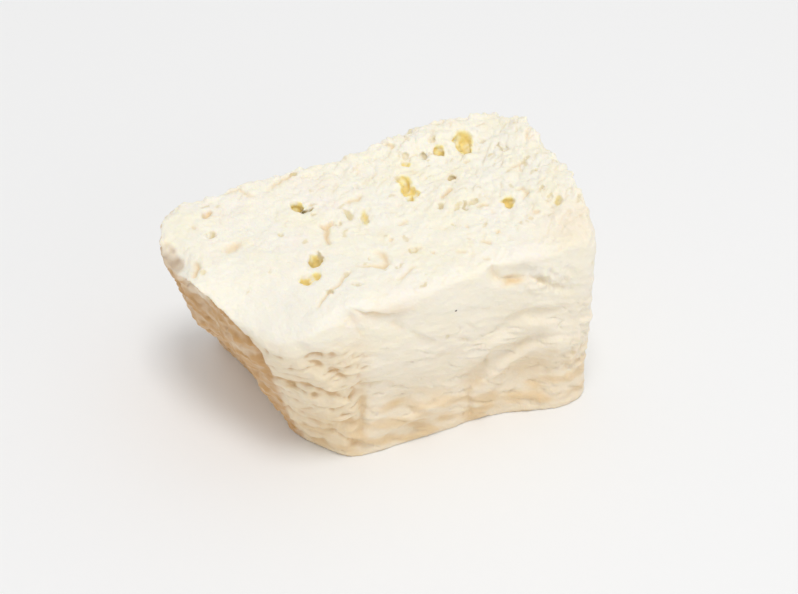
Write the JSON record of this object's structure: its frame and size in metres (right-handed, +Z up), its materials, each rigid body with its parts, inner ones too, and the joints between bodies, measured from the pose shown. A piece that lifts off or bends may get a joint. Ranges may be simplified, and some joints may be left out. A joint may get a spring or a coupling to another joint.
{
  "type": "brined sheep cheese block",
  "caption": "Block of brined sheep cheese with a crumbly top full of small eyes, a softly folded front skin and a leaning torn end.",
  "frame": {"origin": "centre of the block's plan, on the flat underside it rests on", "axes": "+X along the block's length towards its upright end, +Y from the folded front to the back, +Z up"},
  "size_m": [0.1376, 0.0836, 0.0799],
  "materials": {
    "curd": "moist ivory curd, satin, with ochre insides to its eyes"
  },
  "bodies": {
    "root": {"cheese_block": "curd"}
  },
  "joints": []
}
